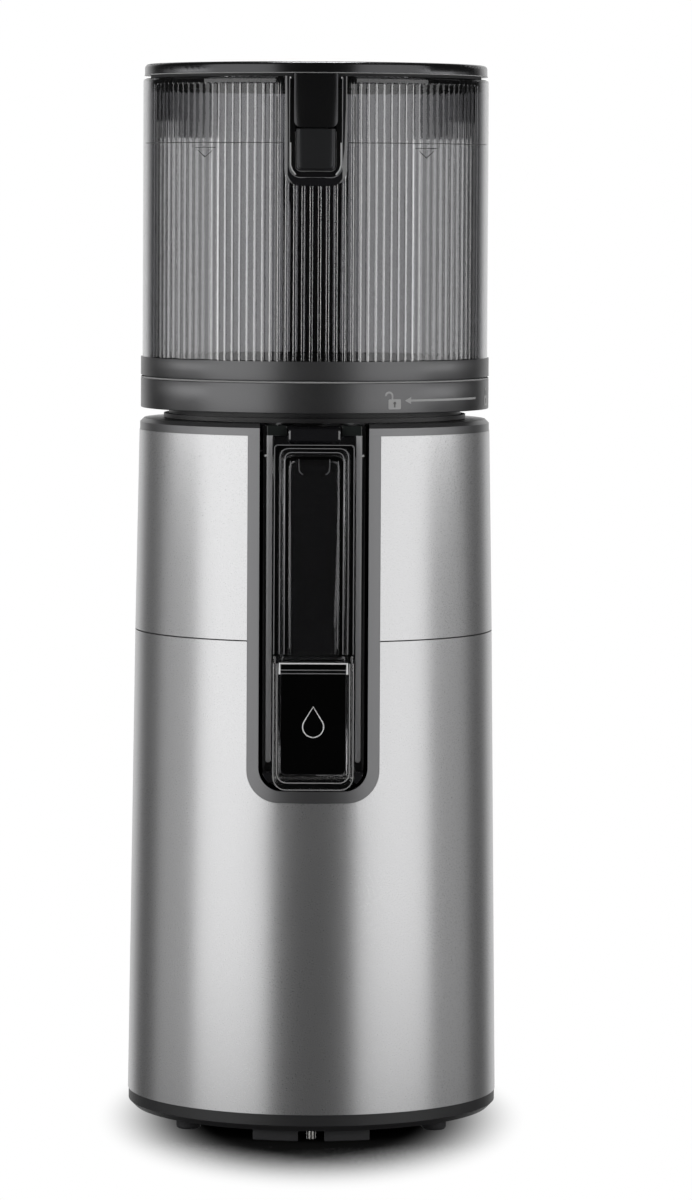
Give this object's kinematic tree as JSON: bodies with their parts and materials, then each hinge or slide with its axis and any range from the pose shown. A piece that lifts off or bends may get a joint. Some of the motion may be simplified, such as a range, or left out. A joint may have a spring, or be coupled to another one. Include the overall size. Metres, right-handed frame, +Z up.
{
  "type": "cold press juicer",
  "caption": "Slim upright slow juicer: clear latched hopper over a bayonet collar, auger chamber with a folding juice cap, and a tapering motor body.",
  "frame": {"origin": "on the floor, on the machine's upright axis, at the middle of its footprint", "axes": "+Z up along the axis, -Y towards the front with the juice cap and the lid's latch, +X to the right seen from behind the front"},
  "size_m": [0.155, 0.155, 0.442],
  "materials": {
    "lid_grey": "satin dark grey moulding",
    "smoked_clear": "smoked clear moulding with fine vertical flutes inside",
    "gloss_black": "gloss black moulding",
    "dark_textured": "fine spark-eroded texture, dark grey",
    "dark_smooth": "smooth dark grey moulding",
    "button_grey": "satin grey moulding",
    "silver_satin": "satin silver-grey metallic lacquer on a moulded shell",
    "bezel_grey": "satin mid grey moulding",
    "clear": "clear moulding",
    "bowl_clear": "lightly smoked clear moulding",
    "black_rubber": "soft black silicone",
    "strainer_grey": "matt dark grey moulding",
    "auger_grey": "matt near-black hard moulding",
    "steel": "plain bright steel",
    "laminated_steel": "stacked sheet steel",
    "alloy": "as-cast alloy",
    "base_black": "matt black moulding",
    "foot_rubber": "grey-black rubber",
    "board_green": "varnished circuit board"
  },
  "bodies": {
    "base": {"base_plate": "base_black", "base_ring": "base_black", "front_pads": "foot_rubber", "round_feet": "foot_rubber", "base_screws": "steel", "lower_shell": "silver_satin", "upper_shell": "silver_satin", "top_ring": "bezel_grey", "front_bezel": "bezel_grey", "channel_liner": "gloss_black", "chamber_well": "dark_smooth", "micro_switch": "base_black", "pulp_duct": "dark_smooth", "gearbox_housing": "alloy", "gearbox_cover": "alloy", "bearings": "steel", "stator": "laminated_steel", "motor_can": "steel", "control_board": "board_green", "switch_frame": "base_black", "cord_inlet": "base_black"},
    "chamber": {"chamber_bowl": "bowl_clear", "chamber_rim": "dark_smooth", "chamber_gasket": "black_rubber", "drive_seal": "black_rubber", "strainer": "strainer_grey", "chamber_front": "gloss_black", "cap_pin": "steel", "spout_cover": "clear", "guide_rails": "bezel_grey", "hook_block": "gloss_black"},
    "auger": {"auger": "auger_grey", "cutter_blade": "steel"},
    "cap": {"juice_cap": "clear", "juice_seal": "black_rubber"},
    "hopper": {"hopper_collar": "dark_textured", "hopper_ring": "dark_smooth", "hopper_wall": "smoked_clear", "feed_funnel": "dark_smooth", "rear_column": "gloss_black", "hinge_pin": "steel", "latch_frame": "gloss_black", "button_spring": "steel", "rod_spring": "steel"},
    "rod": {"interlock_rod": "dark_smooth"},
    "button": {"release_button": "button_grey"},
    "lid": {"lid_plate": "lid_grey", "lid_tongue": "lid_grey", "lid_seal": "black_rubber"},
    "drive": {"drive_shaft": "steel", "output_gear": "steel"},
    "layshaft": {"lay_pinion": "steel", "lay_gear": "steel", "lay_shaft": "steel"},
    "motor_rotor": {"motor_pinion": "steel", "motor_shaft": "steel", "rotor": "laminated_steel", "cooling_fan": "base_black"},
    "rocker": {"rocker": "base_black"},
    "flap": {"pulp_flap": "dark_smooth"}
  },
  "joints": [
    {"name": "chamber_lift", "type": "slide", "parent": "base", "child": "chamber", "axis": [0, 0, 1], "range_m": [0, 0.2]},
    {"name": "hopper_twist", "type": "hinge", "parent": "chamber", "child": "hopper", "pos_m": [0, 0, 0.305], "axis": [0, 0, 1], "range_deg": [0, 51]},
    {"name": "lid_hinge", "type": "hinge", "parent": "hopper", "child": "lid", "pos_m": [0, 0.073, 0.4345], "axis": [-1, 0, 0], "range_deg": [0, 95]},
    {"name": "button_press", "type": "slide", "parent": "hopper", "child": "button", "axis": [0, 1, 0], "range_m": [0, 0.0025], "stiffness_N_per_m": 1200, "springref_m": -0.002, "deforming": ["button_spring"]},
    {"name": "rod_slide", "type": "slide", "parent": "hopper", "child": "rod", "axis": [0, 0, 1], "range_m": [0, 0.0025], "deforming": ["rod_spring"]},
    {"name": "cap_hinge", "type": "hinge", "parent": "chamber", "child": "cap", "pos_m": [0, -0.072, 0.15], "axis": [1, 0, 0], "range_deg": [0, 105]},
    {"name": "motor_spin", "type": "hinge", "parent": "base", "child": "motor_rotor", "pos_m": [0, 0, 0.0746], "axis": [0, 0, 1], "continuous": true},
    {"name": "layshaft_spin", "type": "hinge", "parent": "base", "child": "layshaft", "pos_m": [0.032, 0, 0.12], "axis": [0, 0, 1], "continuous": true},
    {"name": "drive_spin", "type": "hinge", "parent": "base", "child": "drive", "pos_m": [0, 0, 0.138], "axis": [0, 0, 1], "continuous": true},
    {"name": "auger_spin", "type": "hinge", "parent": "chamber", "child": "auger", "pos_m": [0, 0, 0.155], "axis": [0, 0, 1], "continuous": true},
    {"name": "rocker_tilt", "type": "hinge", "parent": "base", "child": "rocker", "pos_m": [0, 0.07022, 0.045], "axis": [1, 0, 0], "range_deg": [-12, 12]},
    {"name": "flap_swing", "type": "hinge", "parent": "base", "child": "flap", "pos_m": [0, 0.07124, 0.1657], "axis": [1, 0, 0], "range_deg": [0, 60]}
  ],
  "couplings": [
    {"joint": "layshaft_spin", "follows": "motor_spin", "ratio": -0.25},
    {"joint": "drive_spin", "follows": "motor_spin", "ratio": 0.083333},
    {"joint": "auger_spin", "follows": "motor_spin", "ratio": 0.083333},
    {"joint": "rod_slide", "follows": "lid_hinge", "m_per_rad": 0.0015}
  ]
}
